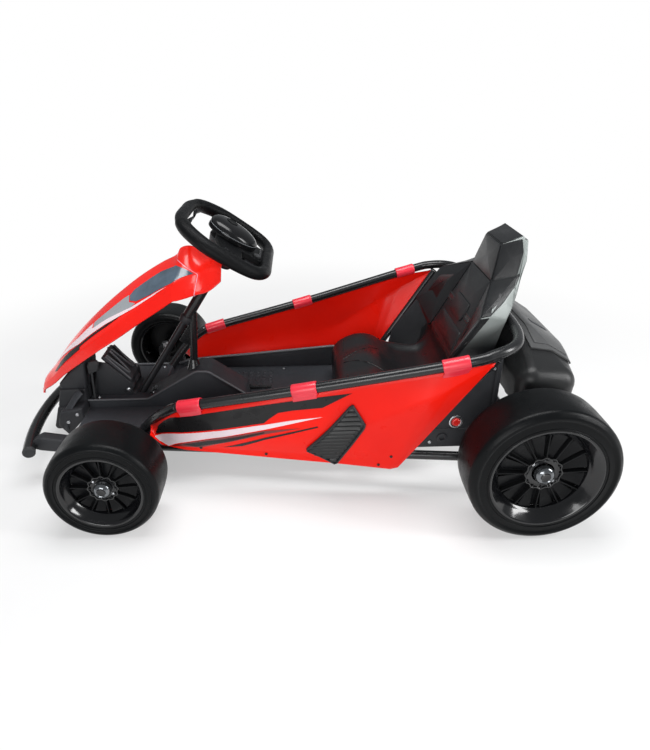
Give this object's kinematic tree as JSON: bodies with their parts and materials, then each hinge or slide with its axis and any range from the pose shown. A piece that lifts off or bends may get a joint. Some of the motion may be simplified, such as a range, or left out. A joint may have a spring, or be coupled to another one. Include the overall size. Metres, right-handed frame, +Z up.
{
  "type": "kart chassis",
  "caption": "Low steel-tube electric drift kart chassis with moulded seat, red side panels, nose fairing, steering wheel and slick tyres.",
  "frame": {"origin": "on the ground, at the middle of the kart's box", "axes": "+X forwards, +Y to the driver's left, +Z up"},
  "size_m": [1.2395, 0.833, 0.575],
  "materials": {
    "frame_steel": "satin black powder coat",
    "end_rubber": "matt",
    "black_plastic": "fine grained black moulding",
    "seat_plastic": "satin black moulding",
    "cover_plastic": "satin black moulding",
    "red_gloss": "gloss red",
    "red_panel": "gloss red sheet",
    "clip_red": "semi gloss red",
    "grip_black": "fine leather grain",
    "raw_steel": "zinc plated",
    "dark_steel": "black oxide",
    "battery_case": "plain",
    "controller_case": "satin",
    "button_red": "gloss",
    "rim_black": "gloss black",
    "tyre_black": "satin slick",
    "cap_grey": "smoked grey gloss"
  },
  "bodies": {
    "frame": {"upper_hoop": "frame_steel", "lower_rails": "frame_steel", "rear_braces": "frame_steel", "mid_cross_tube": "frame_steel", "rear_cross_tube": "frame_steel", "axle_plates": "frame_steel", "front_beam": "frame_steel", "front_yokes": "frame_steel", "bumper_tube": "frame_steel", "bumper_caps": "end_rubber", "bumper_brackets": "frame_steel", "floor_pan": "black_plastic", "nose_cover": "black_plastic", "fairing": "red_gloss", "fairing_support": "black_plastic", "column_hood": "red_gloss", "side_panel_left": "red_panel", "side_panel_right": "red_panel", "panel_clips": "clip_red", "panel_vents": "black_plastic", "seat_back": "seat_plastic", "seat_base": "seat_plastic", "seat_bracket": "frame_steel", "rear_cover": "cover_plastic", "battery": "battery_case", "controller": "controller_case", "gearboxes": "black_plastic", "drive_motors": "raw_steel", "rear_axle": "raw_steel", "side_plates": "black_plastic", "power_bezel": "raw_steel", "charge_socket": "black_plastic", "column_sleeve": "frame_steel", "column_post": "frame_steel", "kingpins": "raw_steel", "pedal_box": "black_plastic"},
    "lid": {"cover_lid": "cover_plastic"},
    "power": {"power_button": "button_red"},
    "steering": {"steering_column": "dark_steel", "steering_rim": "grip_black", "steering_pad": "grip_black"},
    "horn": {"horn_button": "grip_black"},
    "knuckle_left": {"steering_knuckle_left": "dark_steel"},
    "knuckle_right": {"steering_knuckle_right": "dark_steel"},
    "tie": {"tie_rod": "dark_steel"},
    "accelerator": {"pedal": "black_plastic"},
    "wheel_fl": {"front_wheel_left": "rim_black", "front_tyre_left": "tyre_black", "hub_cap_front_left": "cap_grey"},
    "wheel_fr": {"front_wheel_right": "rim_black", "front_tyre_right": "tyre_black", "hub_cap_front_right": "cap_grey"},
    "wheel_rl": {"rear_wheel_left": "rim_black", "rear_tyre_left": "tyre_black", "hub_cap_rear_left": "cap_grey"},
    "wheel_rr": {"rear_wheel_right": "rim_black", "rear_tyre_right": "tyre_black", "hub_cap_rear_right": "cap_grey"}
  },
  "joints": [
    {"name": "steering_turn", "type": "hinge", "parent": "frame", "child": "steering", "pos_m": [0.125, 0, 0.497], "axis": [-0.5519, 0, 0.8339], "range_deg": [-33, 33]},
    {"name": "kingpin_left", "type": "hinge", "parent": "frame", "child": "knuckle_left", "pos_m": [0.367, 0.248, 0.1095], "axis": [0, 0, 1], "range_deg": [-20.85, 20.85]},
    {"name": "kingpin_right", "type": "hinge", "parent": "frame", "child": "knuckle_right", "pos_m": [0.367, -0.248, 0.1095], "axis": [0, 0, 1], "range_deg": [-20.85, 20.85]},
    {"name": "tie_swing", "type": "hinge", "parent": "knuckle_left", "child": "tie", "pos_m": [0.321, 0.248, 0.0815], "axis": [0, 0, 1], "range_deg": [-20.85, 20.85]},
    {"name": "spin_fl", "type": "hinge", "parent": "knuckle_left", "child": "wheel_fl", "pos_m": [0.367, 0.3225, 0.1095], "axis": [0, 1, 0], "continuous": true},
    {"name": "spin_fr", "type": "hinge", "parent": "knuckle_right", "child": "wheel_fr", "pos_m": [0.367, -0.3225, 0.1095], "axis": [0, 1, 0], "continuous": true},
    {"name": "spin_rl", "type": "hinge", "parent": "frame", "child": "wheel_rl", "pos_m": [-0.473, 0.3645, 0.147], "axis": [0, 1, 0], "continuous": true},
    {"name": "spin_rr", "type": "hinge", "parent": "frame", "child": "wheel_rr", "pos_m": [-0.473, -0.3645, 0.147], "axis": [0, 1, 0], "continuous": true},
    {"name": "pedal_press", "type": "hinge", "parent": "frame", "child": "accelerator", "pos_m": [0.4, -0.027, 0.138], "axis": [0, 1, 0], "range_deg": [0, 10], "stiffness_Nm_per_rad": 3, "springref_deg": -8.59},
    {"name": "horn_press", "type": "slide", "parent": "steering", "child": "horn", "axis": [0.5519, 0, -0.8339], "range_m": [0, 0.002], "stiffness_N_per_m": 400, "springref_m": -0.0008},
    {"name": "power_press", "type": "slide", "parent": "frame", "child": "power", "axis": [0, -1, 0], "range_m": [0, 0.003], "stiffness_N_per_m": 400, "springref_m": -0.001},
    {"name": "lid_lift", "type": "hinge", "parent": "frame", "child": "lid", "pos_m": [-0.5, 0, 0.331], "axis": [0, 1, 0], "range_deg": [0, 70]}
  ],
  "couplings": [
    {"joint": "kingpin_left", "follows": "steering_turn", "ratio": 0.6287},
    {"joint": "kingpin_right", "follows": "steering_turn", "ratio": 0.6287},
    {"joint": "tie_swing", "follows": "steering_turn", "ratio": -0.6287}
  ]
}
